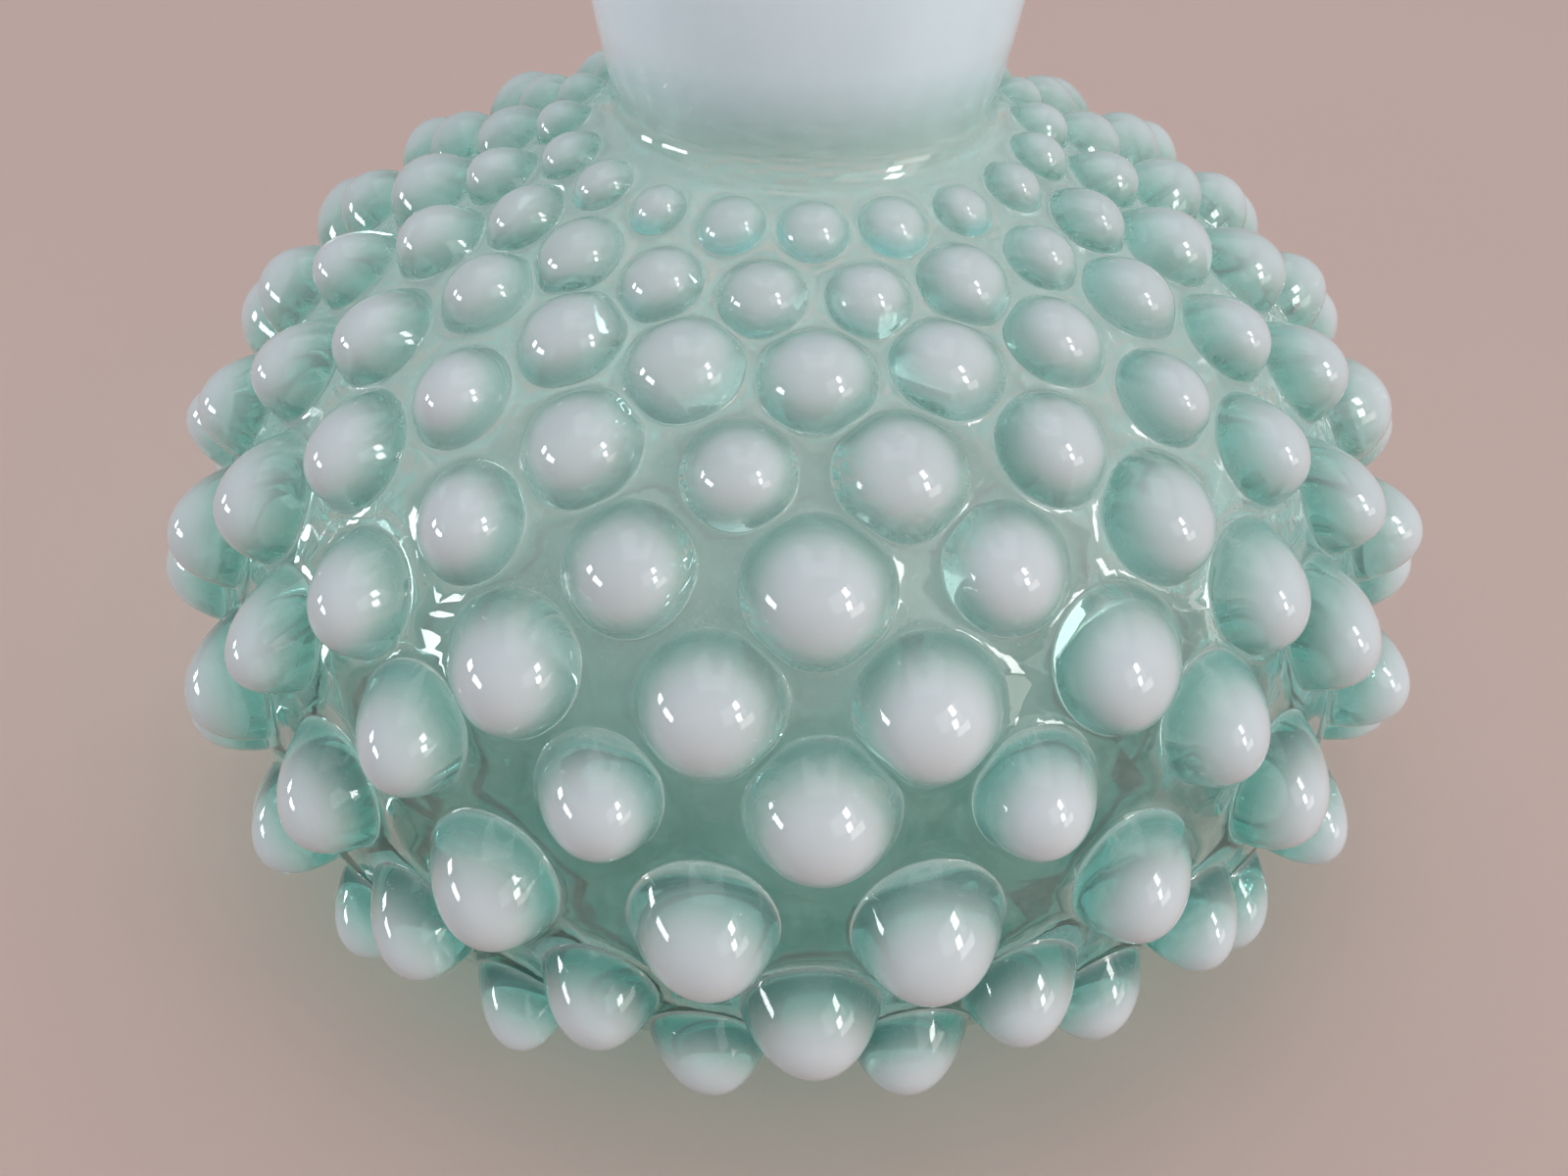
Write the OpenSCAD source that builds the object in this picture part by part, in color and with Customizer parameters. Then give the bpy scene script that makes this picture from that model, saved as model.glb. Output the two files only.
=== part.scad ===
/* [Glass body] */
// Diameter of the glass at its widest, between the hobs
body_d = 92.5; // [88:0.5:100]
// Height of the widest place above the base
equator_h = 20; // [18:0.5:22]
// Radius of the arc that closes the body over the shoulder
shoulder_arc = 36.25; // [34:0.25:38]
// Radius of the arc that draws the body in to its heel
heel_arc = 24; // [23:0.25:28]
// Angle of the straight slope from the shoulder up to the neck
shoulder_slope = 30; // [28:0.5:32]
// Thickness of the glass in the body
body_wall = 4; // [3:0.1:5]
// Thickness of the glass in the base, above the foot
base_thick = 7; // [5:0.5:9]
// Diameter of the hollow ground into the underside
kick_d = 56; // [40:1:60]
// Depth of the hollow ground into the underside
kick_depth = 2.4; // [1:0.1:3]

/* [Hobs] */
// Hobs in each ring round the body
hobs_per_row = 20; // [16:2:24]
// How far the centre of each round hob stands out of the glass
hob_rise = 0.6; // [0:0.1:0.8]

/* [Neck] */
// Height of the glass from the base to the lip
bottle_h = 170; // [160:1:190]
// Diameter of the neck where it rises from the shoulder
waist_d = 27.2; // [25:0.2:29]
// Radius of the hollow fillet between shoulder and neck
neck_fillet = 2.4; // [1.5:0.1:3.5]
// Diameter of the swelling of the neck
swell_d = 31; // [29:0.5:34]
// Height of the swelling above the waist
swell_rise = 13; // [10:0.5:18]
// Thickness of the glass in the neck
neck_wall = 3.2; // [2.6:0.1:3.6]
// Diameter of the straight bore that takes the cork
mouth_d = 15.4; // [14.6:0.1:16.4]
// Length of the straight bore under the lip
mouth_len = 30; // [28:0.5:36]
// Diameter of the lip
lip_d = 31; // [30:0.5:34]
// Thickness of the lip
lip_h = 5; // [4:0.25:6]
// Rounding of the mouth's inner edge
mouth_round = 1.2; // [0.6:0.1:1.6]

/* [Stopper] */
// Length of the cork
cork_len = 24; // [20:0.5:26]
// Gap between the cork and the bore at the lip
cork_gap = 0.2; // [0.1:0.05:0.4]
// How much thinner the cork is at its lower end, on the diameter
cork_taper = 1; // [0.4:0.1:1.6]
// Diameter of the collar that rests on the lip
collar_d = 27; // [26:0.5:32]
// Height of the collar's milled rim
rim_h = 3.2; // [2.4:0.1:4]
// Flutes round the collar's rim
rim_flutes = 48; // [36:2:56]
// Radius of each flute in the rim
flute_r = 0.6; // [0.4:0.05:0.7]
// Diameter of the collar's upper face
collar_top_d = 14; // [13:0.5:16]
// Height of the whole collar
collar_h = 8; // [7:0.5:11]
// Outer diameter of the pour tube
tube_d = 4.8; // [4.4:0.1:5]
// Inner diameter of the pour tube and the spout
tube_bore = 3.4; // [2.8:0.1:3.6]
// Outer diameter of the vent tube
vent_d = 2; // [1.8:0.1:2.2]
// Inner diameter of the vent tube
vent_bore = 1.2; // [0.9:0.1:1.4]
// Gap between the vent tube and the spout's foot or the nut
vent_gap = 0.2; // [0.1:0.05:0.3]
// Length of the vent tube under the nut
vent_drop = 5; // [2:0.5:8]
// How far the vent tube stands out of the collar's upper face
vent_rise = 4.5; // [2:0.5:6]
// Thickness of the washer under the cork
washer_t = 0.8; // [0.6:0.1:1.2]
// Width of the washer's edge inside the cork's edge
washer_inset = 0.4; // [0.2:0.1:0.6]
// Width across flats of the nut
nut_af = 6.6; // [6.4:0.1:6.8]
// Thickness of the nut
nut_t = 3; // [2.4:0.1:3.6]
// Length of the pour tube under the nut
tube_end = 2; // [1:0.5:4]
// Length of the pour tube that goes up into the spout
tube_seat = 3; // [2:0.5:5]

/* [Spout and cap] */
// Diameter of the spout's foot
foot_d = 7.8; // [7.6:0.1:8]
// Thickness of the spout's foot
foot_h = 1.2; // [0.8:0.1:1.6]
// Diameter of the spout just above its foot
stem_d = 7.2; // [6.8:0.1:7.4]
// Diameter of the spout at its tip
tip_d = 5.6; // [5:0.1:6]
// Length of the spout above its foot
stem_len = 26; // [22:0.5:34]
// Radius of the ring round the spout, just under the cap
ring_r = 0.9; // [0.6:0.1:1.2]
// Gap between that ring and the cap
ring_gap = 0.3; // [0.2:0.1:0.6]
// Length of the cap that goes over the spout
cap_len = 11; // [8:0.5:14]
// Gap between the spout's widest covered place and the cap
cap_gap = 0.25; // [0.15:0.05:0.4]
// Thickness of the cap's wall
cap_wall = 0.9; // [0.7:0.1:1.2]
// Radius of the rolled edge at the cap's mouth
cap_roll = 0.7; // [0.5:0.1:1]
// Height of the cap's dome
dome_h = 3; // [2:0.25:4]
// Thickness of the cork disc in the cap
liner_t = 1.4; // [1:0.1:2]
// Diameter of the ball on the cap
ball_d = 6; // [5:0.25:8]
// How far the ball sinks into the dome
ball_sink = 1; // [0.5:0.1:1.5]

/* [Hidden] */
$fn = 96;
over = 1;

// Rows of hobs from the heel to the neck: heights over the widest place, and diameters
row_h = [-9.6, -4.4, 3.6, 12.1, 18, 24, 28.6, 32.2, 34.9, 37.5];
row_d = [8.2, 9.2, 9.8, 9.4, 9, 8.8, 8.2, 7.2, 5.9, 4.5];

// Glass
body_r = body_d / 2;
shoulder_ring = body_r - shoulder_arc;
heel_ring = body_r - heel_arc;
kick_sphere = (pow(kick_d / 2, 2) + pow(kick_depth, 2)) / (2 * kick_depth);
slope_turn = 6;
cross_lat = 90 - shoulder_slope + slope_turn;
cross_r = shoulder_ring + shoulder_arc * cos(cross_lat);
cross_h = shoulder_arc * sin(cross_lat);
waist_r = waist_d / 2;
root_r = waist_r + neck_fillet * (1 - sin(shoulder_slope));
waist_z = equator_h + slope_h(root_r) + neck_fillet * cos(shoulder_slope);
swell_z = waist_z + swell_rise;
mouth_r = mouth_d / 2;
neck_r = mouth_r + neck_wall;
neck_z = bottle_h - mouth_len;
lip_edge = lip_h / 2;
lip_flare = lip_d / 2 - lip_edge - neck_r;
lip_z = bottle_h - lip_h;
neck_steps = 12;
arc_step = 15;

// Stopper, upwards from the cork's lower end
cork_r = mouth_r - cork_gap;
cork_low_r = cork_r - cork_taper / 2;
cork_z = bottle_h - cork_len;
washer_z = cork_z - washer_t;
washer_r = cork_low_r - washer_inset;
nut_z = washer_z - nut_t;
tube_z = nut_z - tube_end;
vent_z = nut_z - vent_drop;
collar_z = bottle_h;
rim_z = collar_z + rim_h;
collar_top_z = collar_z + collar_h;
collar_rim_r = collar_d / 2;
collar_neck_r = collar_top_d / 2;
tube_top = collar_top_z + tube_seat;
vent_top = collar_top_z + vent_rise;
nut_d = nut_af / cos(30);
vent_x = (max(foot_d, nut_d) + vent_d) / 2 + vent_gap;

// Spout and cap
stem_z = collar_top_z + foot_h;
tip_z = stem_z + stem_len;
cap_z = tip_z - cap_len;
ring_z = cap_z - ring_gap - ring_r;
cap_bore_r = stem_r(cap_z) + cap_gap;
cap_r = cap_bore_r + cap_wall;
liner_top = tip_z + liner_t;
cap_top = liner_top + dome_h;

// Height of the straight slope over the widest place, at a radius
function slope_h(r) = cross_h + (cross_r - r) * tan(shoulder_slope);

// Where the straight slope starts, under the shoulder's arc, less an inset
function slope_start(inset) =
  [shoulder_ring, equator_h]
  + (shoulder_arc * cos(slope_turn) - inset) * [sin(shoulder_slope), cos(shoulder_slope)];

// Radius and outward angle of the glass at a height over its widest place
function glass_at(h) =
  h > cross_h ? [cross_r - (h - cross_h) / tan(shoulder_slope), 90 - shoulder_slope]
  : let (arc = h > 0 ? shoulder_arc : heel_arc, lat = asin(h / arc))
    [body_r - arc + arc * cos(lat), lat];

// Radius of the tapered spout at a height
function stem_r(z) = (stem_d + (tip_d - stem_d) * (z - stem_z) / stem_len) / 2;

// An S-shaped step from one radius to another over a share s of the way
function ease(a, b, s) = a + (b - a) * s * s * (3 - 2 * s);

// Points of a neck wall that runs over the waist, the swelling and the slim top, less an inset
function neck_wall_points(inset) = concat(
  [for (i = [0 : neck_steps - 1])
    let (s = i / neck_steps)
    [waist_r + (swell_d / 2 - waist_r) * sin(90 * s) - inset, waist_z + swell_rise * s]],
  [for (i = [0 : neck_steps])
    let (s = i / neck_steps)
    [ease(swell_d / 2, neck_r, s) - inset, swell_z + (neck_z - swell_z) * s]]
);

// Half outline of the body as far as the two arcs reach, less an inset
module body_half(inset) {
  intersection() {
    translate([shoulder_ring, equator_h]) circle(r = shoulder_arc - inset);
    translate([0, equator_h]) square([body_d, body_d]);
  }
  intersection() {
    translate([heel_ring, equator_h]) circle(r = heel_arc - inset);
    square([body_d, equator_h]);
  }
  square([heel_ring, equator_h]);
}

// Half outline of the slope and the neck, from under the shoulder to the lip
module neck_half() {
  start = slope_start(0);
  fillet = [for (a = [shoulder_slope : arc_step : 90 - arc_step])
    [waist_r + neck_fillet * (1 - sin(a)), waist_z - neck_fillet * cos(a)]];
  flare = [for (a = [0 : arc_step : 90])
    [neck_r + lip_flare * (1 - cos(a)), lip_z - lip_flare * (1 - sin(a))]];
  edge = [for (a = [-90 + arc_step : arc_step : 90])
    [lip_d / 2 - lip_edge + lip_edge * cos(a), lip_z + lip_edge * (1 + sin(a))]];
  polygon(concat(
    [[0, start[1] - body_wall], [start[0], start[1] - body_wall], start],
    fillet, neck_wall_points(0), flare, edge, [[0, bottle_h]]
  ));
}

// Half outline of the room inside the neck, up to the straight bore
module neck_room_half() {
  start = slope_start(body_wall);
  low_r = waist_r - neck_wall;
  low_z = equator_h + slope_h(low_r) - body_wall / cos(shoulder_slope);
  polygon(concat(
    [[0, start[1] - body_wall], [start[0], start[1] - body_wall], start, [low_r, low_z]],
    neck_wall_points(neck_wall), [[0, neck_z]]
  ));
}

// Half outline of the rounding at the mouth
module mouth_half() {
  round = [for (a = [0 : arc_step : 90])
    [mouth_r + mouth_round * (1 - cos(a)), bottle_h - mouth_round * (1 - sin(a))]];
  polygon(concat(
    [[0, bottle_h - mouth_round]], round,
    [[mouth_r + mouth_round, bottle_h + over], [0, bottle_h + over]]
  ));
}

// Half outline of the room inside the body
module cavity_half() {
  intersection() {
    body_half(body_wall);
    translate([0, base_thick]) square([body_d, body_d]);
  }
}

// One ring of hobs on the glass; every second ring is turned by half a step
module hob_row(k) {
  glass = glass_at(row_h[k]);
  r = glass[0] + hob_rise * cos(glass[1]);
  z = equator_h + row_h[k] + hob_rise * sin(glass[1]);
  turn = k % 2 == 0 ? 180 / hobs_per_row : 0;
  for (i = [0 : hobs_per_row - 1])
    rotate(-90 + turn + i * 360 / hobs_per_row)
      translate([r, 0, z])
        rotate([0, 90 - glass[1], 0])
          sphere(d = row_d[k]);
}

// Bottle of one piece of glass: hobnailed body, neck and lip
module glass_bottle() {
  color("paleturquoise")
  difference() {
    union() {
      rotate_extrude() body_half(0);
      rotate_extrude() neck_half();
      for (k = [0 : len(row_h) - 1]) hob_row(k);
    }
    rotate_extrude() cavity_half();
    rotate_extrude() neck_room_half();
    translate([0, 0, neck_z - over]) cylinder(r = mouth_r, h = mouth_len + 2 * over);
    rotate_extrude() mouth_half();
    translate([0, 0, kick_depth - kick_sphere]) sphere(r = kick_sphere);
  }
}

// Tapered cork with one hole for the pour tube and one for the vent
module cork_sleeve() {
  color("burlywood")
  difference() {
    translate([0, 0, cork_z]) cylinder(r1 = cork_low_r, r2 = cork_r, h = cork_len);
    translate([0, 0, cork_z - over]) cylinder(d = tube_d, h = cork_len + 2 * over);
    translate([vent_x, 0, cork_z - over]) cylinder(d = vent_d, h = cork_len + 2 * over);
  }
}

// Turned collar with a milled rim and a hollow slope up to the spout's seat
module collar() {
  slope_run = collar_rim_r - collar_neck_r;
  slope_rise = collar_h - rim_h;
  slope = [for (a = [arc_step : arc_step : 90])
    [collar_neck_r + slope_run * (1 - sin(a)), collar_top_z - slope_rise * cos(a)]];
  color("silver")
  difference() {
    rotate_extrude()
      polygon(concat(
        [[0, collar_z], [collar_rim_r, collar_z], [collar_rim_r, rim_z]],
        slope, [[0, collar_top_z]]
      ));
    for (i = [0 : rim_flutes - 1])
      rotate((i + 0.5) * 360 / rim_flutes)
        translate([collar_rim_r, 0, collar_z - over])
          cylinder(r = flute_r, h = rim_h + 2 * over);
    translate([0, 0, collar_z - over]) cylinder(d = tube_d, h = collar_h + 2 * over);
    translate([vent_x, 0, collar_z - over]) cylinder(d = vent_d, h = collar_h + 2 * over);
  }
}

// Straight tube from under the nut up into the spout
module pour_tube() {
  color("silver")
  translate([0, 0, tube_z])
  difference() {
    cylinder(d = tube_d, h = tube_top - tube_z);
    translate([0, 0, -over]) cylinder(d = tube_bore, h = tube_top - tube_z + 2 * over);
  }
}

// Thin tube that lets air in beside the pour tube
module vent_tube() {
  color("silver")
  translate([vent_x, 0, vent_z])
  difference() {
    cylinder(d = vent_d, h = vent_top - vent_z);
    translate([0, 0, -over]) cylinder(d = vent_bore, h = vent_top - vent_z + 2 * over);
  }
}

// Washer that spreads the nut's pull over the cork's lower end
module cork_washer() {
  color("silver")
  translate([0, 0, washer_z])
  difference() {
    cylinder(r = washer_r, h = washer_t);
    translate([0, 0, -over]) cylinder(d = tube_d, h = washer_t + 2 * over);
    translate([vent_x, 0, -over]) cylinder(d = vent_d, h = washer_t + 2 * over);
  }
}

// Six-sided nut on the pour tube
module cork_nut() {
  color("goldenrod")
  translate([0, 0, nut_z])
  difference() {
    cylinder(d = nut_d, h = nut_t, $fn = 6);
    translate([0, 0, -over]) cylinder(d = tube_d, h = nut_t + 2 * over);
  }
}

// Tapered spout on its foot, seated over the end of the pour tube
module spout() {
  color("silver")
  difference() {
    union() {
      translate([0, 0, collar_top_z]) cylinder(d = foot_d, h = foot_h);
      translate([0, 0, stem_z]) cylinder(d1 = stem_d, d2 = tip_d, h = stem_len);
      rotate_extrude() translate([stem_r(ring_z), ring_z]) circle(r = ring_r);
    }
    translate([0, 0, collar_top_z - over]) cylinder(d = tube_d, h = tube_seat + over);
    translate([0, 0, collar_top_z]) cylinder(d = tube_bore, h = foot_h + stem_len + over);
  }
}

// Push-on cap with a rolled edge, a dome and a ball to pull it by
module spout_cap() {
  roll = [for (a = [-90 : arc_step : 90])
    [cap_r + cap_roll * cos(a), cap_z + cap_roll * (1 + sin(a))]];
  dome = [for (a = [0 : arc_step : 90])
    [cap_r * cos(a), liner_top + dome_h * sin(a)]];
  color("silver")
  difference() {
    union() {
      rotate_extrude() polygon(concat([[0, cap_z]], roll, dome));
      translate([0, 0, cap_top + ball_d / 2 - ball_sink]) sphere(d = ball_d);
    }
    translate([0, 0, cap_z - over]) cylinder(r = cap_bore_r, h = liner_top - cap_z + over);
  }
}

// Cork disc in the cap that seals the spout's tip
module cap_liner() {
  color("burlywood")
  translate([0, 0, tip_z]) cylinder(r = cap_bore_r, h = liner_t);
}

glass_bottle();
cork_sleeve();
collar();
pour_tube();
vent_tube();
cork_washer();
cork_nut();
spout();
spout_cap();
cap_liner();
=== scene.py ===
import math

import bpy
import numpy as np
from mathutils import Matrix, Vector
from mathutils.geometry import delaunay_2d_cdt


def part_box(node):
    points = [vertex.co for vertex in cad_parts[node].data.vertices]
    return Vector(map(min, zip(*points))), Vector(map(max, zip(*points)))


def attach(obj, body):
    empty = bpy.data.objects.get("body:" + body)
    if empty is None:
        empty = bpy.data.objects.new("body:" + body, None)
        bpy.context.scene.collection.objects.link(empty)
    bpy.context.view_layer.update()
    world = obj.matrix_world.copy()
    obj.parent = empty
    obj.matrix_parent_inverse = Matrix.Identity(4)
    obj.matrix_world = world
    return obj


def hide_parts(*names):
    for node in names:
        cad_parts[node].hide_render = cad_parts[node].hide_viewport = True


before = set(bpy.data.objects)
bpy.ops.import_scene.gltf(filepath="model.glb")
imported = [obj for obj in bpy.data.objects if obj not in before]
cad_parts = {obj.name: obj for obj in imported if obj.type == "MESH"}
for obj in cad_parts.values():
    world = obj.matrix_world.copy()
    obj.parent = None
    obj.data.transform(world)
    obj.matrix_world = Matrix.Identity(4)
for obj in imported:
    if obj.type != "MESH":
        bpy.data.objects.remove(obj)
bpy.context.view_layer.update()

MM = 0.001
RNG = np.random.default_rng(115742)

# Glass, in millimetres, with the body's sizes as the CAD part has them
BODY_R = 46.25
EQUATOR_H = 20.0
SHOULDER_ARC = 36.25
HEEL_ARC = 24.0
SLOPE = math.radians(30)
SLOPE_TURN = math.radians(6)
BODY_WALL = 4.0
BASE_THICK = 7.0
BASE_FILLET = 4.0
KICK_R = 28.0
KICK_DEPTH = 2.4
WAIST_R = 13.6
NECK_FILLET = 2.4
SWELL_R = 15.5
SWELL_RISE = 13.0
NECK_WALL = 3.2
MOUTH_R = 7.7
MOUTH_LEN = 30.0
MOUTH_ROUND = 1.2
LIP_R = 15.5
LIP_H = 5.0
JOIN_GAP = 0.1
EDGE_SOFTNESS = 0.35
NECK_WAVE = 0.1
NECK_WAVE_START = 8.0
NECK_WAVE_END = (12.0, 5.0)
ROUND_STEPS = 240
RING_GAP = 1.6
RING_TURN = math.radians(7)
INNER_GAP = 1.1
MIDDLE_GAP = 1.0

# Hobs, in rows from the heel to the neck: heights over the widest place, diameters, how far they stand out,
# how milky their tips are and how deep their colour is round the root
HOBS_PER_ROW = 20
ROW_H = [-9.6, -4.4, 3.6, 12.1, 18.0, 24.0, 28.6, 32.2, 34.9, 37.5]
ROW_D = [8.8, 9.9, 10.5, 10.3, 10.1, 9.9, 9.0, 8.2, 6.9, 5.0]
ROW_TALL = [4.4, 4.9, 5.1, 5.0, 4.5, 4.0, 3.4, 3.0, 2.5, 1.8]
ROW_OPAL = [0.95, 0.95, 0.95, 0.95, 0.94, 0.91, 0.88, 0.85, 0.83, 0.8]
ROW_DEEP = [1.0, 1.0, 0.9, 0.7, 0.55, 0.45, 0.4, 0.35, 0.3, 0.3]

# One hob's form: shares of its radius or its height, angles, and shifts, gaps and depths in millimetres
HOB_STEPS = 40
HOB_REACH = [1, 0.98, 0.96, 0.94, 0.915, 0.89, 0.86, 0.82, 0.77, 0.71, 0.64, 0.56, 0.47, 0.37, 0.26, 0.13]
HOB_FULLNESS = 2.1
HOB_BLUNTNESS = 0.8
HOB_FOOT = 0.95
HOB_FILLET = 0.07
HOB_LEAST_WIDTH = 0.82
HOB_LEAST_HEIGHT = 0.92
HOB_SHIFT = 0.22
HOB_LEAN = math.radians(3)
MOULD_LEAN = math.radians(21)
MOULD_DROOP = math.radians(9)
ROOT_LIFT = 0.8
ROOT_GAP = 0.2
ROOT_SHARPNESS = 40
LEAST_FACING = 0.1
DRAWN_HOB = 40
DRAWN_LEAN = math.radians(-9)
DIMPLE_DEPTH = 0.45
DIMPLE_WIDTH = 0.9 / 1.3
DIMPLE_REACH = 2.5 * BODY_WALL

# The skin between the hobs
HEEL_EDGE_H = -15.0
FILL_GAP = 2 * math.pi / 160
FILL_ROW = 0.87
FILL_SHIFT = 0.1
FILL_ROOM = 0.5
SAME_PLACE = 1e-9
WHOLE_HULL, INSIDE_ONLY = 0, 1

# Shares of milky opal and of deep colour, and the heights or shares of a hob between which they change
SKIN_OPAL = 0.02
SHOULDER_OPAL = 0.33
SHOULDER_SPAN = (10.0, 28.0)
HOB_ROOT_OPAL = 0.25
HOB_OPAL_SPAN = (0.14, 0.95)
HOB_DEEP_RISE = (0.0, 0.14)
HOB_DEEP_FALL = (0.18, 0.64)
NECK_ROOT_OPAL = 0.32
NECK_OPAL_GAIN = 0.60
NECK_OPAL_SPAN = (-1.5, 6.0)
NECK_OPAL_LOSS = 0.22
NECK_LOSS_LOW = 30.0
NECK_LOSS_TOP = 25.0
NECK_INSIDE = 0.6
NECK_FADE = 6.0
# Deep colour on the skin between the hobs, strongest low on the body and gone under the neck: partly the
# glass's teal, partly painted shade of the dark inside seen through the lower flats
SKIN_TINT_AND_SHADE = 0.35
SKIN_SHADE_TOP = 5.0
BASE_DEEP = 1.0
BASE_GLOW = 12.0

# Stopper, in millimetres, where the frame doesn't give it
TURN_STEPS = 96
CORK_TAPER = 1.0
CORK_LOW_FLAT = 0.7
CORK_TOP_FLAT = 1.1
CORK_ROUND = 0.5
CORK_RINGS = 74
CORK_STEPS = 192
PIT_COUNT = 170
PIT_WIDTH = (0.2, 0.6)
PIT_LENGTH = (0.25, 1.1)
PIT_DEPTH = (0.08, 0.4)
PIT_MOST = 0.5
PIT_EDGE = (0.5, 0.1)
RIM_H = 3.2
RIM_STEP = 1.0
RIM_FLUTES = 48
FLUTE_STEPS = 8
FLUTE_R = 0.6
FLUTE_SPREAD = 1.05
FLUTE_BLUNTNESS = 0.8
FLUTE_EDGE = (1.2, 0.2)
COLLAR_TOP_R = 7.0
COLLAR_TOP_FLAT = 0.5
COLLAR_TOP_EDGE = 0.3
COLLAR_LOW_FLAT = 1.2
COLLAR_SLOPE_GAP = 1.3
COLLAR_SLOPE_START = 0.12
COLLAR_ROUND = 0.3
NUT_STEPS = 144
NUT_CORNER = 0.985
NUT_FACE = 0.98
NUT_CHAMFER = math.radians(30)
NUT_SHARP = math.radians(20)
WASHER_FLAT = 0.3
WASHER_ROUND = 0.2
TUBE_STEPS = 64
TUBE_ROUND = 0.5
TUBE_BORE = 1.7
VENT_BORE = 0.6
FOOT_R = 3.9
FOOT_H = 1.2
FOOT_FLARE = 0.12
FOOT_FLARE_H = 0.6
STEM_START = 0.4
STEM_R = 3.6
TIP_R = 2.8
RING_R = 0.9
RING_Z = 193.0
RING_HALF_TURN = 1.4
RING_ROOM = 0.15
SPOUT_ROUND = 0.25
CAP_WALL = 0.9
CAP_LINES = (2.6, 3.4)
CAP_LINE_DEPTH = 0.16
CAP_FLARE = 0.3
CAP_ROUND = 0.1
DOME_H = 3.0
DOME_TURN = 1.05
BALL_R = 3.0
BALL_START = -0.95
LINER_DENT = 0.12
LINER_DENT_EDGE = 0.2
LINER_ROUND = 0.12
HOLE_STEPS = 32
SHARP = math.radians(50)
SOFT_TURN = math.radians(20)

# Most of a side that a rounded corner may take, on a side with two such corners and with one
SHARED_SIDE = 0.35
OWN_SIDE = 0.68
CORNER_GUARD = 0.4

# Camera, fitted to the hobs in the photograph: millimetres from the middle of the widest place, and angles
SENSOR_WIDTH = 36.0
LENS = 38.14
CAMERA_TURN = math.radians(2.76)
CAMERA_HEADING = math.radians(2.76 - 0.30)
CAMERA_PITCH = math.radians(37.87)
CAMERA_ROLL = math.radians(1.32)
CAMERA_DISTANCE = 115.4
CAMERA_HEIGHT = 84.94

# The camera's near limit, lamps, floor and world, with distances in metres
CLIP_START = 0.005
LAMP_DISTANCE = 2.0
FLOOR_R = 9
WORLD_LOW = (0.76, 0.75, 0.74, 1)
WORLD_HIGH = (0.86, 0.90, 0.94, 1)
WORLD_LIGHT = 0.50
WORLD_SEEN = 0.85
DAYLIGHT = (0.92, 0.97, 1.0)


def box_mm(node):
    """Lowest and highest corner of a CAD node, in millimetres."""
    return [np.array(corner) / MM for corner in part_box(node)]


BOTTLE_H = box_mm("glass_bottle")[1][2]
CORK_BOX = box_mm("cork_sleeve")
COLLAR_BOX = box_mm("collar")
NUT_BOX = box_mm("cork_nut")
SPOUT_BOX = box_mm("spout")
CAP_BOX = box_mm("spout_cap")
VENT_BOX = box_mm("vent_tube")
CORK_R = CORK_BOX[1][0]
COLLAR_R = COLLAR_BOX[1][0]
TUBE_R = box_mm("pour_tube")[1][0]
TUBE_TOP = box_mm("pour_tube")[1][2]
LINER_TOP = box_mm("cap_liner")[1][2]
CAP_BORE = box_mm("cap_liner")[1][0]
CAP_R = CAP_BORE + CAP_WALL
VENT_X = (VENT_BOX[0][0] + VENT_BOX[1][0]) / 2
VENT_R = (VENT_BOX[1][0] - VENT_BOX[0][0]) / 2
STOPPER_HOLES = [(0.0, TUBE_R), (VENT_X, VENT_R)]


def arc(centre, radius, start, end, steps=24):
    """Points on an arc in the half plane, from one angle to another."""
    angles = np.linspace(start, end, steps)
    return np.stack([centre[0] + radius * np.cos(angles), centre[1] + radius * np.sin(angles)], 1)


def smooth_step(low, high, x):
    """0 under low, 1 over high, and an S-shaped way between them."""
    t = np.clip((x - low) / (high - low), 0, 1)
    return t * t * (3 - 2 * t)


class Meridian:
    """A half outline with softened corners, read by the length along it."""

    def __init__(self, points, softness, pitch=0.1):
        points = np.concatenate(points)
        keep = np.hypot(*np.diff(points, axis=0, prepend=points[:1] + 1).T) > 1e-6
        points = points[keep]
        along = np.concatenate([[0], np.cumsum(np.hypot(*np.diff(points, axis=0).T))])
        places = np.linspace(0, along[-1], int(along[-1] / pitch) + 1)
        even = np.stack([np.interp(places, along, axis) for axis in points.T], 1)
        reach = int(3 * softness / pitch)
        weights = np.exp(-0.5 * (np.arange(-reach, reach + 1) * pitch / softness) ** 2)
        weights /= weights.sum()
        before, after = 2 * even[0] - even[reach:0:-1], 2 * even[-1] - even[-2:-reach - 2:-1]
        padded = np.concatenate([before, even, after])
        soft = np.stack([np.convolve(axis, weights, "valid") for axis in padded.T], 1)
        self.points = soft
        self.s = np.concatenate([[0], np.cumsum(np.hypot(*np.diff(soft, axis=0).T))])
        tangent = np.gradient(soft, self.s, axis=0)
        self.tangent = tangent / np.hypot(*tangent.T)[:, None]

    def at(self, s):
        """Radius and height at a length along the outline."""
        return np.interp(s, self.s, self.points[:, 0]), np.interp(s, self.s, self.points[:, 1])

    def direction(self, s):
        """Radial and upward share of the tangent at a length along the outline."""
        return np.interp(s, self.s, self.tangent[:, 0]), np.interp(s, self.s, self.tangent[:, 1])

    def rings(self, start, end, gap=RING_GAP, turn=RING_TURN):
        """Lengths from start to end, close together where the outline bends."""
        heading = np.unwrap(np.arctan2(self.tangent[:, 1], self.tangent[:, 0]))
        bend = np.abs(np.gradient(heading, self.s))
        need = np.maximum(1 / gap, bend / turn)
        count = np.concatenate([[0], np.cumsum((need[1:] + need[:-1]) / 2 * np.diff(self.s))])
        first, last = np.interp([start, end], self.s, count)
        steps = max(1, math.ceil(last - first))
        return np.interp(np.linspace(first, last, steps + 1), count, self.s)


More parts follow.
